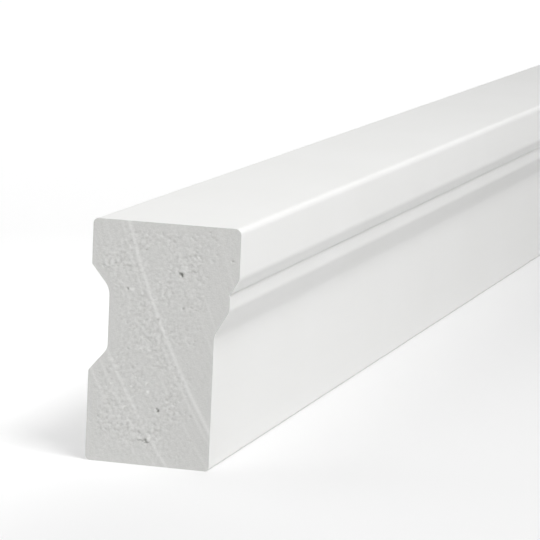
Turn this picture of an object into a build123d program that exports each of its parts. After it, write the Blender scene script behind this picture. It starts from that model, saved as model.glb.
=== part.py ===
from build123d import *
import math
import os

# Brick moulding: one stick of cellular PVC trim, standing on its inner edge.
# X runs across the thickness with the moulded face toward +X, Y along the stick, Z up.
# All sizes are in mm and angles in degrees.

# Overall sizes of the stick
length = 2438.4        # 8 ft stock length
face_width = 50.8      # 2 in, bottom edge to top edge as it stands
thickness = 31.75      # 1-1/4 in, back plane to the outer flat

# Moulded face, from the top edge down
outer_flat = 10.5      # tall flat beside the outer edge
bevel_angle = 30.0     # both bevels, from the upright
first_step = 1.85      # depth of the bevel below the outer flat
middle_flat = 3.45     # narrow flat between the bevels
second_step = 3.05     # depth of the bevel down to the inner flat

# Relief channel along the back, which bridges uneven framing
outer_lip = 9.55       # bearing strip beside the outer edge
inner_lip = 19.0       # bearing strip beside the inner edge
channel_depth = 4.0
shoulder_angle = 40.0  # channel shoulders, from the upright

# Corner radii
face_arris = 1.4       # outer edge to outer flat
back_arris = 1.1       # both outer corners of the back
toe_arris = 0.9        # inner edge to inner flat
lip_round = 0.6        # where each lip breaks into the channel
upper_cove = 4.5       # channel floor to the outer shoulder
lower_cove = 2.5       # channel floor to the inner shoulder
bevel_brow = 2.5       # upper corner of each bevel
inner_flat_cove = 3.6  # second bevel to the inner flat
quirk = 0.15           # tight inner corner under the first bevel

# Section planes that follow from the sizes above
back = -thickness / 2
front = thickness / 2
channel_floor = back + channel_depth
shoulder_rise = channel_depth / math.tan(math.radians(shoulder_angle))
middle_face = front - first_step
inner_face = middle_face - second_step
first_bevel_top = face_width - outer_flat
first_bevel_foot = first_bevel_top - first_step / math.tan(math.radians(bevel_angle))
second_bevel_top = first_bevel_foot - middle_flat
second_bevel_foot = second_bevel_top - second_step / math.tan(math.radians(bevel_angle))
channel_top = face_width - outer_lip

# Corners of the section with their radii, clockwise from the foot of the back
corners = [
    ((back, 0), back_arris),
    ((back, inner_lip), lip_round),
    ((channel_floor, inner_lip + shoulder_rise), lower_cove),
    ((channel_floor, channel_top - shoulder_rise), upper_cove),
    ((back, channel_top), lip_round),
    ((back, face_width), back_arris),
    ((front, face_width), face_arris),
    ((front, first_bevel_top), bevel_brow),
    ((middle_face, first_bevel_foot), quirk),
    ((middle_face, second_bevel_top), bevel_brow),
    ((inner_face, second_bevel_foot), inner_flat_cove),
    ((inner_face, 0), toe_arris),
]
points = [point for point, radius in corners]
radii = [radius for point, radius in corners]

# One stick: the section swept straight along Y, centred on the origin
with BuildPart() as stick:
    with BuildSketch(Plane.XZ):
        with BuildLine():
            FilletPolyline(*points, radius=radii, close=True)
        make_face()
    extrude(amount=length / 2, both=True)

brick_moulding = stick.part
brick_moulding.label = "brick_moulding"

os.makedirs("parts", exist_ok=True)
export_step(brick_moulding, "parts/brick_moulding.step")
print("section area, mm2:", round(brick_moulding.volume / length, 1))
print("volume, litres:", round(brick_moulding.volume / 1e6, 3))
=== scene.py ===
import math
import random

import bpy
import numpy as np
from mathutils import Matrix, Vector, noise


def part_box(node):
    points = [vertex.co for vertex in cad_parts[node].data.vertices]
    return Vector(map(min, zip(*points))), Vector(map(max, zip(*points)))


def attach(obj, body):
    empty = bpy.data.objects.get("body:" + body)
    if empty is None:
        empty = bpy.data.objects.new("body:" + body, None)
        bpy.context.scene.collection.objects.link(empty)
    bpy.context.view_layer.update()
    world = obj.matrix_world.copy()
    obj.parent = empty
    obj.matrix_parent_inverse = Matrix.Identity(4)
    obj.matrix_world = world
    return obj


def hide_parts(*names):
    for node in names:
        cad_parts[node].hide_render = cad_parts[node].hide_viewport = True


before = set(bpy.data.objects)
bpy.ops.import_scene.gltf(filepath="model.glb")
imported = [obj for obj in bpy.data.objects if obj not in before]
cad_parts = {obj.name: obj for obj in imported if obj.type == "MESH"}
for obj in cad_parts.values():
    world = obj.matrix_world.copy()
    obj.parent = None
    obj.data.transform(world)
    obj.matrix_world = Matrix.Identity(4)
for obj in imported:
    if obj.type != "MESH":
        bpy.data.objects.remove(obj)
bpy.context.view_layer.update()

mm = 0.001
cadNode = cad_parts["brick_moulding"]
low, high = (Vector(corner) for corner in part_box("brick_moulding"))  # the stick's two corners
hair = 0.001 * mm              # points this near to a plane lie in it


def linear(hexColour):
    # sRGB hex to the linear values that the shaders want
    parts = [int(hexColour[i:i + 2], 16) / 255 for i in (1, 3, 5)]
    return [p / 12.92 if p <= 0.04045 else ((p + 0.055) / 1.055) ** 2.4 for p in parts] + [1.0]


def addNode(tree, kind, links=None, stops=(), **settings):
    # settings are the node's properties, links its inputs: a value, or the socket that feeds it,
    # and stops the places and brightnesses along a ramp
    new = tree.nodes.new(kind)
    for key, value in settings.items():
        setattr(new, key, value)
    for key, value in (links or {}).items():
        if isinstance(value, bpy.types.NodeSocket):
            tree.links.new(value, new.inputs[key])
        else:
            new.inputs[key].default_value = value
    if stops:
        line = new.color_ramp.elements
        while len(line) < len(stops):
            line.new(1.0)
        for stop, (place, bright) in zip(line, stops):
            stop.position = place
            stop.color = (bright, bright, bright, 1)
    return new


def pickOnly(obj):
    bpy.ops.object.select_all(action="DESELECT")
    obj.select_set(True)
    bpy.context.view_layer.objects.active = obj


# Shape of the stick: a sawn end face in fine cells, pulled out along the length

stick = {
    "rowPitch": 0.19 * mm,     # height of one row of cells on the cut faces
    "columns": 140,            # cells across the cut faces
    "rings": 4,                # pulls between the two ends
    "smoothAngle": 35,         # degrees: edges sharper than this stay sharp
    "quirkWidth": 0.75 * mm,   # fine groove that the die leaves at the foot of the outer bevel
    "quirkDepth": 0.22 * mm,
}
saw = {
    "radius": 173 * mm,        # blade
    "height": 99 * mm,         # blade centre above the inner edge
    "toothPitch": 1.35 * mm,   # faint marks all over
    "toothDepth": 0.005 * mm,
    "burr": 0.05 * mm,         # the cut plane lies this far inside the ends, for the burrs to stand on
    # a strong mark comes and goes along its arc
    "fadeRate": 90,            # changes per metre
    "fadeUsual": 0.9,          # usual share of its rise, and how far that swings
    "fadeSwing": 0.6,
    "fadeLimits": (0.4, 1.0),
    "fadeStride": 7.3,         # keeps one mark's fading apart from the next one's
}
foam = {
    # depth of the dense foam behind each skin: back, moulded face, inner edge, outer edge
    "denseBack": 3.2 * mm,
    "denseFace": 9.0 * mm,
    "denseInner": 2.2 * mm,
    "denseOuter": 2.2 * mm,
    "denseRelief": 0.12,       # how rough the dense foam is beside the core
    "opening": 2,              # power by which the foam opens towards the core
    "cellSize": 0.66 * mm,     # clusters of cells that the saw opened
    "cellDepth": 0.040 * mm,
    "cellLayers": [(1, 1.0, 0), (2, 0.5, 9), (0.5, 0.3, 17)],  # how much finer, weight, and a shift
    "patchSize": 5 * mm,       # coarse and fine patches of foam
    "patchSwing": 0.9,         # how much rougher the coarse patches are
    "smallVoids": 600,
    "smallEven": 0.5,          # how evenly they lie outside their groups
    "smallChance": (0.02, 0.7),            # one stays where the foam is more open than a draw from this
    "smallWidth": (0.36 * mm, 0.66 * mm),
    "smallShape": (0.55, 0.95),            # height as a share of the width
    "smallDepth": (0.02 * mm, 0.10 * mm),
    "spotEdge": 1.5,           # how steep the edges of voids and crumbs are
    "pull": 0.45 * mm,         # how far the cells pull their outlines about
    "crumbUsual": 0.75,        # usual share of a crumb's rise, and how ragged its top is
    "crumbSwing": 0.9,
    "crumbLimits": (0.2, 1.1),
    "voidShadeDepth": 0.25 * mm,    # a void this deep has a painted shade tone of -1
}
# The two cut faces, in mm. Marks: where each crosses mid height, its width and how far it stands up.
# Voids, and crumbs that the saw left standing: place across and up, width, height, and depth or rise.
nearEnd = {
    "seed": 11,
    "marks": [
        (1.45, 0.90, 0.030),
        (-0.15, 0.55, 0.014),
        (-3.7, 0.50, 0.010),
        (-12.8, 0.65, 0.024),
        (-15.3, 0.55, 0.012),
        (-18.4, 0.55, 0.016),
        (10.6, 0.60, 0.012),
        (13.2, 0.55, 0.010),
        (20.4, 0.60, 0.010),
    ],
    "voids": [
        (3.6, 40.4, 0.82, 0.52, 0.40),
        (-0.5, 11.7, 0.68, 0.78, 0.38),
        (-4.3, 5.35, 1.00, 0.44, 0.30),
        (-3.5, 5.05, 0.90, 0.36, 0.22),
        (-2.7, 5.00, 1.00, 0.52, 0.30),
        (-4.2, 6.60, 0.60, 0.36, 0.16),
        (-7.9, 36.6, 0.50, 0.45, 0.25),
        (-0.3, 36.2, 0.60, 0.55, 0.14),
        (-1.2, 30.7, 0.55, 0.50, 0.25),
        (4.1, 33.4, 0.70, 0.60, 0.13),
        (14.3, 44.0, 0.50, 0.45, 0.18),
        (-13.1, 7.8, 0.50, 0.50, 0.12),
        (-4.1, 45.0, 0.60, 0.50, 0.15),
        (7.2, 44.4, 0.45, 0.45, 0.20),
        (-5.0, 24.5, 0.45, 0.45, 0.15),
    ],
    "crumbs": [
        (-7.0, 36.6, 0.90, 0.60, 0.085),
        (-3.8, 45.8, 0.60, 0.45, 0.055),
        (7.1, 44.2, 0.55, 0.50, 0.075),
        (-1.0, 38.4, 0.50, 0.45, 0.050),
        (-4.8, 24.5, 0.75, 0.60, 0.075),
        (-3.0, 24.7, 0.60, 0.50, 0.055),
        (-7.9, 11.8, 1.10, 0.50, 0.070),
        (-3.1, 17.2, 0.55, 0.80, 0.075),
        (-2.7, 15.4, 0.70, 0.70, 0.060),
        (-2.1, 5.6, 0.80, 0.60, 0.095),
        (0.0, 6.0, 0.60, 0.50, 0.050),
        (-6.9, 13.5, 0.60, 0.50, 0.050),
        (-8.8, 10.0, 0.60, 0.60, 0.045),
        (-10.7, 16.4, 0.60, 0.55, 0.045),
    ],
}
farEnd = {
    "seed": 29,
    "marks": [(-6.0, 0.80, 0.030), (-4.4, 0.50, 0.014), (4.5, 0.60, 0.014), (11.0, 0.65, 0.022)],
    "voids": [
        (-4.0, 33.0, 0.80, 0.60, 0.50),
        (2.5, 14.0, 0.65, 0.65, 0.40),
        (6.0, 42.5, 0.90, 0.45, 0.30),
    ],
    "crumbs": [(-3.1, 33.3, 0.70, 0.50, 0.070), (3.3, 14.6, 0.60, 0.50, 0.060)],
}


def inMetres(rows):
    return [[value * mm for value in row] for row in rows]


def sectionSides():
    # the section's outline, off the near end of the CAD solid: its back and front edge as height and place
    ends = [v.co for v in cadNode.data.vertices if v.co.y < low.y + hair]
    middle = (low.x + high.x) / 2
    backEdge = sorted({(round(p.z, 7), round(p.x, 7)) for p in ends if p.x < middle})
    frontEdge = sorted({(round(p.z, 7), round(p.x, 7)) for p in ends if p.x > middle})
    return np.array(backEdge), np.array(frontEdge)


def placeAt(z, edge):
    return np.interp(z, edge[:, 0], edge[:, 1])


def rowHeights():
    # a row at every height where the outline turns, and even rows between them
    turns = sorted({round(z, 6) for z in np.concatenate([backEdge[:, 0], frontEdge[:, 0]])})
    heights = [turns[0]]
    for top in turns[1:]:
        steps = max(1, round((top - heights[-1]) / stick["rowPitch"]))
        heights += list(np.linspace(heights[-1], top, steps + 1)[1:])
    return np.array(heights)


def quirkHeight():
    # the tightest inner corner of the moulded face, leaving out the arrises, which lean by over 45 degrees
    lean = np.diff(frontEdge[:, 1]) / np.diff(frontEdge[:, 0])
    turn = np.diff(lean)
    turn[np.abs(lean[1:]) > 1] = 0
    return frontEdge[1 + np.argmax(turn), 0]


def readPoints(mesh):
    co = np.empty(len(mesh.vertices) * 3)
    mesh.vertices.foreach_get("co", co)
    return co.reshape(-1, 3)


def buildStick():
    heights = rowHeights()
    rows = len(heights) - 1
    bpy.ops.object.select_all(action="DESELECT")
    bpy.ops.mesh.primitive_grid_add(x_subdivisions=stick["columns"], y_subdivisions=rows, size=1)
    obj = bpy.context.object
    obj.name = "mouldingStick"
    # stand the grid up as the near end, drawn out to the section's outline
    co = readPoints(obj.data)
    across = co[:, 0] + 0.5
    z = heights[np.rint((co[:, 1] + 0.5) * rows).astype(int)]
    left, right = placeAt(z, backEdge), placeAt(z, frontEdge)
    groove = (z - quirkHeight()) / (0.5 * stick["quirkWidth"])
    right -= stick["quirkDepth"] * np.exp(-groove ** 2)
    co = np.stack([left + across * (right - left), np.full(len(z), low.y), z], axis=1)
    obj.data.vertices.foreach_set("co", co.ravel())
    # pull it along, ring by ring
    pickOnly(obj)
    bpy.ops.object.mode_set(mode="EDIT")
    bpy.ops.mesh.select_all(action="SELECT")
    step = (0, (high.y - low.y) / stick["rings"], 0)
    for _ in range(stick["rings"]):
        bpy.ops.mesh.extrude_region_move(TRANSFORM_OT_translate={"value": step})
    bpy.ops.mesh.select_all(action="SELECT")
    bpy.ops.mesh.normals_make_consistent(inside=False)
    bpy.ops.object.mode_set(mode="OBJECT")
    bpy.ops.object.shade_smooth_by_angle(angle=math.radians(stick["smoothAngle"]))
    print("stick pulled:", len(obj.data.polygons), "faces")
    return obj


def coreShare(x, z):
    # 0 in the dense foam against the skins, 1 in the open foam of the core
    shares = [(x - placeAt(z, backEdge)) / foam["denseBack"], (placeAt(z, frontEdge) - x) / foam["denseFace"],
              (z - low.z) / foam["denseInner"], (high.z - z) / foam["denseOuter"]]
    return np.clip(np.minimum.reduce(shares), 0, 1) ** foam["opening"]


def toothMarks(x, z, marks):
    # raised arcs of single teeth, and the faint even marks of all the others
    drop = saw["height"] - 0.5 * high.z
    run = math.sqrt(saw["radius"] ** 2 - drop ** 2)
    raised = np.zeros(len(x))
    for number, (place, width, rise) in enumerate(marks):
        away = np.hypot(x - place - run, z - saw["height"]) - saw["radius"]
        drift = [noise.noise((number * saw["fadeStride"], 0, height * saw["fadeRate"])) for height in z]
        fade = np.clip(saw["fadeUsual"] + saw["fadeSwing"] * np.array(drift), *saw["fadeLimits"])
        raised += rise * fade * np.exp(-(away / (0.5 * width)) ** 2)
    sweep = np.hypot(x - run, z - saw["height"])
    even = saw["toothDepth"] * np.cos(2 * math.pi * sweep / saw["toothPitch"])
    return raised, even


def spotDepths(x, z, spots):
    # round hollows, or crumbs where the depth is a rise
    depth = np.zeros(len(x))
    for placeX, placeZ, width, height, deep in spots:
        reach = ((x - placeX) / (0.5 * width)) ** 2 + ((z - placeZ) / (0.5 * height)) ** 2
        depth = np.maximum(depth, deep * np.exp(-reach ** foam["spotEdge"]))
    return depth


def scatterVoids(seed):
    # small voids in loose groups, mostly in the core
    dice = random.Random(seed)
    found = []
    while len(found) < foam["smallVoids"]:
        x, z = dice.uniform(low.x, high.x), dice.uniform(low.z, high.z)
        group = foam["smallEven"] + noise.noise((x / foam["patchSize"], seed, z / foam["patchSize"]))
        if coreShare(x, z) * group < dice.uniform(*foam["smallChance"]):
            continue
        wide = dice.uniform(*foam["smallWidth"])
        tall = wide * dice.uniform(*foam["smallShape"])
        found.append((x, z, wide, tall, dice.uniform(*foam["smallDepth"])))
    return found


def cellRelief(x, z, seed):
    # clusters of opened cells, coarse over fine, rougher in some patches than in others
    size, patch = foam["cellSize"], foam["patchSize"]
    relief = []
    for px, pz in zip(x, z):
        cells = sum(weight * noise.noise((finer * px / size, seed + shift, finer * pz / size))
                    for finer, weight, shift in foam["cellLayers"])
        relief.append(cells * (1 + foam["patchSwing"] * noise.noise((px / patch, seed, pz / patch))))
    return np.array(relief)


def sawEnd(obj, y, inward, cut):
    # presses the foam's cells, voids and tooth marks into one cut face
    co = readPoints(obj.data)
    face = np.flatnonzero(np.abs(co[:, 1] - y) < hair)
    x, z = co[face, 0], co[face, 2]
    dense = foam["denseRelief"]
    cells = cellRelief(x, z, cut["seed"]) * (dense + (1 - dense) * coreShare(x, z))
    raised, even = toothMarks(x, z, inMetres(cut["marks"]))
    pull = foam["pull"] * cells
    ragged = np.clip(foam["crumbUsual"] + foam["crumbSwing"] * cells, *foam["crumbLimits"])
    raised = np.maximum(raised, ragged * spotDepths(x + pull, z - pull, inMetres(cut["crumbs"])))
    opened = spotDepths(x + pull, z - pull, inMetres(cut["voids"]) + scatterVoids(cut["seed"]))
    depth = saw["burr"] + foam["cellDepth"] * cells + even - raised
    co[face, 1] = y + inward * (np.maximum(depth, 0) + opened)
    obj.data.vertices.foreach_set("co", co.ravel())
    # for the material: tones above 0 for stress-whitened tooth marks and below 0 for painted shade in the
    # voids, and the cells' relief, which also sets painted shade in the cells
    tones = {"markAndVoidShadeTone": raised / saw["burr"] - opened / foam["voidShadeDepth"], "cellReliefShade": cells}
    for name, values in tones.items():
        tone = obj.data.attributes.get(name) or obj.data.attributes.new(name, "FLOAT", "POINT")
        everywhere = np.zeros(len(co))
        tone.data.foreach_get("value", everywhere)
        everywhere[face] = values
        tone.data.foreach_set("value", everywhere)


backEdge, frontEdge = sectionSides()
mouldingStick = buildStick()
for polygon in mouldingStick.data.polygons:
    polygon.material_index = 1 if abs(polygon.normal.y) > 0.5 else 0  # sawn ends, skin
sawEnd(mouldingStick, low.y, 1, nearEnd)
sawEnd(mouldingStick, high.y, -1, farEnd)
mouldingStick.data.update()
print("both ends sawn")


# Finishes

skinLook = {
    "colour": "#EEEEED",       # titanium white PVC
    "shade": "#E9E9E7",        # where the skin varies a little
    "cloud": 45 * mm,          # size of such a place
    "roughness": (0.43, 0.54),             # satin, a little different from line to line
    "ior": 1.53,               # rigid PVC
    "dieLine": 1.1 * mm,       # spacing of the faint lines that the die leaves along the stick
    "dieRun": 500 * mm,        # how long one line runs
    "dieDepth": 0.004 * mm,
    "peel": 2.6 * mm,          # slight orange peel of the cooled skin
    "peelDepth": 0.003 * mm,
}
sawnLook = {
    "colour": "#E7E7E5",
    "shade": "#D0D0CD",        # painted shade in the opened cells
    # painted shade in the voids, deepest where a void is deepest
    "voidShade": "#8E8E8A",
    "mark": "#F4F4F2",         # stress-whitened tooth marks
    "roughness": 0.75,
    "ior": 1.53,
    "cell": 0.32 * mm,         # real cells are nearer 0.15 mm: drawn as coarse as the photo's pixels show
    "cellDepth": 0.05 * mm,
    "cellBump": 0.5,
    # how much of the painted shade a single cell takes, a cluster of them, and the whole face
    "cellShade": 0.35,
    "clusterShade": 0.55,
    "evenShade": 0.25,
    "voidShadeTones": (-0.12, -1.6),  # where the painted shade in a void begins, and where it is darkest
}


def newMaterial(name):
    material = bpy.data.materials.new(name)
    material.use_nodes = True
    tree = material.node_tree
    tree.nodes.clear()
    return material, tree


def pvcSkin():
    # Foamed PVC cooled against polished steel: a smooth, closed white skin with a soft satin sheen,
    # and very faint lines along the way it was pulled.
    material, tree = newMaterial("foamedPvcSkin")
    look = skinLook
    coord = addNode(tree, "ShaderNodeTexCoord").outputs["Object"]
    stretch = addNode(tree, "ShaderNodeMapping", {
        "Vector": coord, "Scale": (1 / look["dieLine"], 1 / look["dieRun"], 1 / look["dieLine"])})
    lines = addNode(tree, "ShaderNodeTexNoise", {"Vector": stretch.outputs[0], "Scale": 1.0, "Detail": 2.0})
    peel = addNode(tree, "ShaderNodeTexNoise", {"Vector": coord, "Scale": 1 / look["peel"], "Detail": 1.0})
    cloud = addNode(tree, "ShaderNodeTexNoise", {"Vector": coord, "Scale": 1 / look["cloud"], "Detail": 2.0})
    colour = addNode(tree, "ShaderNodeMix", {
        "Factor": cloud.outputs["Fac"], "A": linear(look["colour"]), "B": linear(look["shade"]),
    }, data_type="RGBA").outputs[2]
    bumpLines = addNode(tree, "ShaderNodeBump", {
        "Height": lines.outputs["Fac"], "Strength": 1.0, "Distance": look["dieDepth"]})
    bumpPeel = addNode(tree, "ShaderNodeBump", {
        "Height": peel.outputs["Fac"], "Strength": 1.0, "Distance": look["peelDepth"],
        "Normal": bumpLines.outputs[0]})
    smoothest, roughest = look["roughness"]
    rough = addNode(tree, "ShaderNodeMapRange", {
        "Value": lines.outputs["Fac"], "To Min": smoothest, "To Max": roughest})
    shader = addNode(tree, "ShaderNodeBsdfPrincipled", {
        "Base Color": colour, "Roughness": rough.outputs[0], "IOR": look["ior"],
        "Normal": bumpPeel.outputs[0]})
    addNode(tree, "ShaderNodeOutputMaterial", {"Surface": shader.outputs[0]})
    return material


def sawnFoam():
    # The same PVC sawn through: matt and greyer than the skin, with painted shade in its opened cells
    #     and voids, darker where they are deeper, and whitened arcs where teeth rubbed.
    material, tree = newMaterial("sawnPvcFoam")
    look = sawnLook
    coord = addNode(tree, "ShaderNodeTexCoord").outputs["Object"]
    cells = addNode(tree, "ShaderNodeTexVoronoi", {
        "Vector": coord, "Scale": 1 / look["cell"], "Randomness": 1.0}, feature="F1")
    # painted shade in the cells: by each cell's Voronoi distance, by the depth of the cells' relief, and an
    # even share over the face
    relief = addNode(tree, "ShaderNodeAttribute", attribute_name="cellReliefShade").outputs["Fac"]
    clusters = addNode(tree, "ShaderNodeMath", {0: relief, 1: look["clusterShade"], 2: look["evenShade"]},
                       operation="MULTIPLY_ADD")
    depth = addNode(tree, "ShaderNodeMath", {
        0: cells.outputs["Distance"], 1: look["cellShade"], 2: clusters.outputs[0],
    }, operation="MULTIPLY_ADD", use_clamp=True)
    colour = addNode(tree, "ShaderNodeMix", {
        "Factor": depth.outputs[0], "A": linear(look["colour"]), "B": linear(look["shade"]),
    }, data_type="RGBA").outputs[2]
    # pale for stress-whitened tooth marks, painted shade for voids by their depth
    tone = addNode(tree, "ShaderNodeAttribute", attribute_name="markAndVoidShadeTone").outputs["Fac"]
    pale, darkest = look["voidShadeTones"]
    for start, full, paint in ((0.0, 1.0, look["mark"]), (pale, darkest, look["voidShade"])):
        share = addNode(tree, "ShaderNodeMapRange", {"Value": tone, "From Min": start, "From Max": full})
        colour = addNode(tree, "ShaderNodeMix", {
            "Factor": share.outputs[0], "A": colour, "B": linear(paint)}, data_type="RGBA").outputs[2]
    bump = addNode(tree, "ShaderNodeBump", {
        "Height": cells.outputs["Distance"], "Strength": look["cellBump"], "Distance": look["cellDepth"]})
    shader = addNode(tree, "ShaderNodeBsdfPrincipled", {
        "Base Color": colour, "Roughness": look["roughness"], "IOR": look["ior"],
        "Normal": bump.outputs[0]})
    addNode(tree, "ShaderNodeOutputMaterial", {"Surface": shader.outputs[0]})
    return material


mouldingStick.data.materials.append(pvcSkin())
mouldingStick.data.materials.append(sawnFoam())
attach(mouldingStick, "root")
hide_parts("brick_moulding")
print("finishes on")


# Studio: an opal sheet for the floor, soft boxes and the photo's camera

studio = {
    "floorSize": 30,
    "floorGap": 0.02 * mm,     # under the stick
    "floorColour": "#AFAFAF",  # it also glows with painted light, so it stays pale in the shadows
    "floorRoughness": 0.9,
    "reach": 2.0,              # metres from the near end over which the painted glow is given
    "below": [(0.0, 0.41), (0.18, 0.31), (0.90, 0.87)],  # brightness of the painted glow by share of the reach
    "shadowFillGlow": 0.26,            # more painted glow behind the stick, where its shadow falls, with soft borders from none of it to all
    "behindAcross": (16 * mm, -60 * mm),
    "behindAlong": (-0.80, 0.25),          # from the near end
    "behindAway": (1.9, 0.5),              # distance from the near end
    "sky": [(0.15, 0.40), (0.45, 0.0)],    # brightness by height: pale walls under a dim ceiling
}
# Soft boxes: place from the near end, what it looks at from the near end, width, height and watts
softBoxes = {
    "steepKey": ((0.60, -0.30, 1.20), (0.0, 0.0, 0.03), 0.6, 0.6, 20.3),
    "leftFill": ((-0.90, 0.20, 1.00), (0.0, 0.10, 0.03), 1.0, 1.0, 5.9),
    "farRim": ((0.35, 2.50, 0.75), (0.0, 0.15, 0.03), 0.8, 0.5, 1.85),
    "farTop": ((0.12, 1.75, 0.55), (0.0, 1.75, 0.0), 0.4, 1.4, 3.0),
}
camera = {
    "focalPixels": 3197.8,     # focal length in pixels of the photo
    "photoPixels": 540,        # its width
    "sensor": 36,              # mm
    "azimuth": 15.285,
    "elevation": 8.266,
    "roll": 2.554,
    "place": (191.66 * mm, -620.01 * mm, 136.37 * mm),  # from the near end, at floor level
    "clipEnd": 60,
}


def buildFloor():
    # A pale sheet without gloss that glows with painted light, more behind the stick, so that shadows on it
    # stay faint.
    bpy.ops.object.select_all(action="DESELECT")
    bpy.ops.mesh.primitive_plane_add(size=studio["floorSize"], location=(0, 0, low.z - studio["floorGap"]))
    floor = bpy.context.object
    floor.name = "paleFloor"
    material, tree = newMaterial("opalSheet")
    coord = addNode(tree, "ShaderNodeTexCoord").outputs["Object"]
    away = addNode(tree, "ShaderNodeVectorMath", {
        0: coord, 1: (0, low.y, 0)}, operation="DISTANCE").outputs["Value"]
    share = addNode(tree, "ShaderNodeMath", {0: away, 1: studio["reach"]}, operation="DIVIDE")
    below = addNode(tree, "ShaderNodeValToRGB", {"Fac": share.outputs[0]}, stops=studio["below"])
    place = addNode(tree, "ShaderNodeSeparateXYZ", {"Vector": coord}).outputs
    # the extra painted glow behind the stick, where its shadow falls, fades out at these borders
    borders = [
        (place["X"], studio["behindAcross"]),
        (away, studio["behindAway"]),
        (place["Y"], [low.y + along for along in studio["behindAlong"]]),
    ]
    glow = studio["shadowFillGlow"]
    for value, (start, full) in borders:
        border = addNode(tree, "ShaderNodeMapRange", {
            "Value": value, "From Min": start, "From Max": full}, interpolation_type="SMOOTHSTEP")
        glow = addNode(tree, "ShaderNodeMath", {
            0: border.outputs[0], 1: glow}, operation="MULTIPLY").outputs[0]
    glow = addNode(tree, "ShaderNodeMath", {0: below.outputs["Color"], 1: glow}, operation="ADD")
    shader = addNode(tree, "ShaderNodeBsdfPrincipled", {
        "Base Color": linear(studio["floorColour"]), "Roughness": studio["floorRoughness"],
        "Emission Color": (1, 1, 1, 1), "Emission Strength": glow.outputs[0]})
    addNode(tree, "ShaderNodeOutputMaterial", {"Surface": shader.outputs[0]})
    floor.data.materials.append(material)


def buildAir():
    world = bpy.data.worlds.new("studioAir")
    bpy.context.scene.world = world
    world.use_nodes = True
    tree = world.node_tree
    tree.nodes.clear()
    direction = addNode(tree, "ShaderNodeTexCoord").outputs["Generated"]
    height = addNode(tree, "ShaderNodeSeparateXYZ", {"Vector": direction}).outputs["Z"]
    ramp = addNode(tree, "ShaderNodeValToRGB", {"Fac": height}, stops=studio["sky"])
    background = addNode(tree, "ShaderNodeBackground", {"Color": ramp.outputs["Color"]})
    addNode(tree, "ShaderNodeOutputWorld", {"Surface": background.outputs[0]})


def hangLights():
    for name, (place, target, width, height, watts) in softBoxes.items():
        spot = Vector(place) + Vector((0, low.y, 0))
        aim = Vector(target) + Vector((0, low.y, 0))
        turn = (aim - spot).to_track_quat("-Z", "Y").to_euler()
        bpy.ops.object.light_add(type="AREA", location=spot, rotation=turn)
        light = bpy.context.object
        light.name = name
        light.data.shape = "RECTANGLE"
        light.data.size = width
        light.data.size_y = height
        light.data.energy = watts


def placeCamera():
    azimuth, elevation, roll = (math.radians(camera[key]) for key in ("azimuth", "elevation", "roll"))
    flat = math.cos(elevation)
    ahead = Vector((-math.sin(azimuth) * flat, math.cos(azimuth) * flat, -math.sin(elevation)))
    level = ahead.cross(Vector((0, 0, 1))).normalized()
    upright = level.cross(ahead)
    right = math.cos(roll) * level + math.sin(roll) * upright
    up = math.cos(roll) * upright - math.sin(roll) * level
    data = bpy.data.cameras.new("photoCamera")
    data.sensor_width = camera["sensor"]
    data.lens = camera["focalPixels"] * data.sensor_width / camera["photoPixels"]
    data.clip_end = camera["clipEnd"]
    obj = bpy.data.objects.new("photoCamera", data)
    bpy.context.scene.collection.objects.link(obj)
    turn = Matrix((right, up, -ahead)).transposed().to_4x4()
    obj.matrix_world = Matrix.Translation(Vector(camera["place"]) + Vector((0, low.y, low.z))) @ turn
    bpy.context.scene.camera = obj


buildFloor()
buildAir()
hangLights()
placeCamera()
bpy.context.scene.view_settings.view_transform = "Standard"
print("studio set")
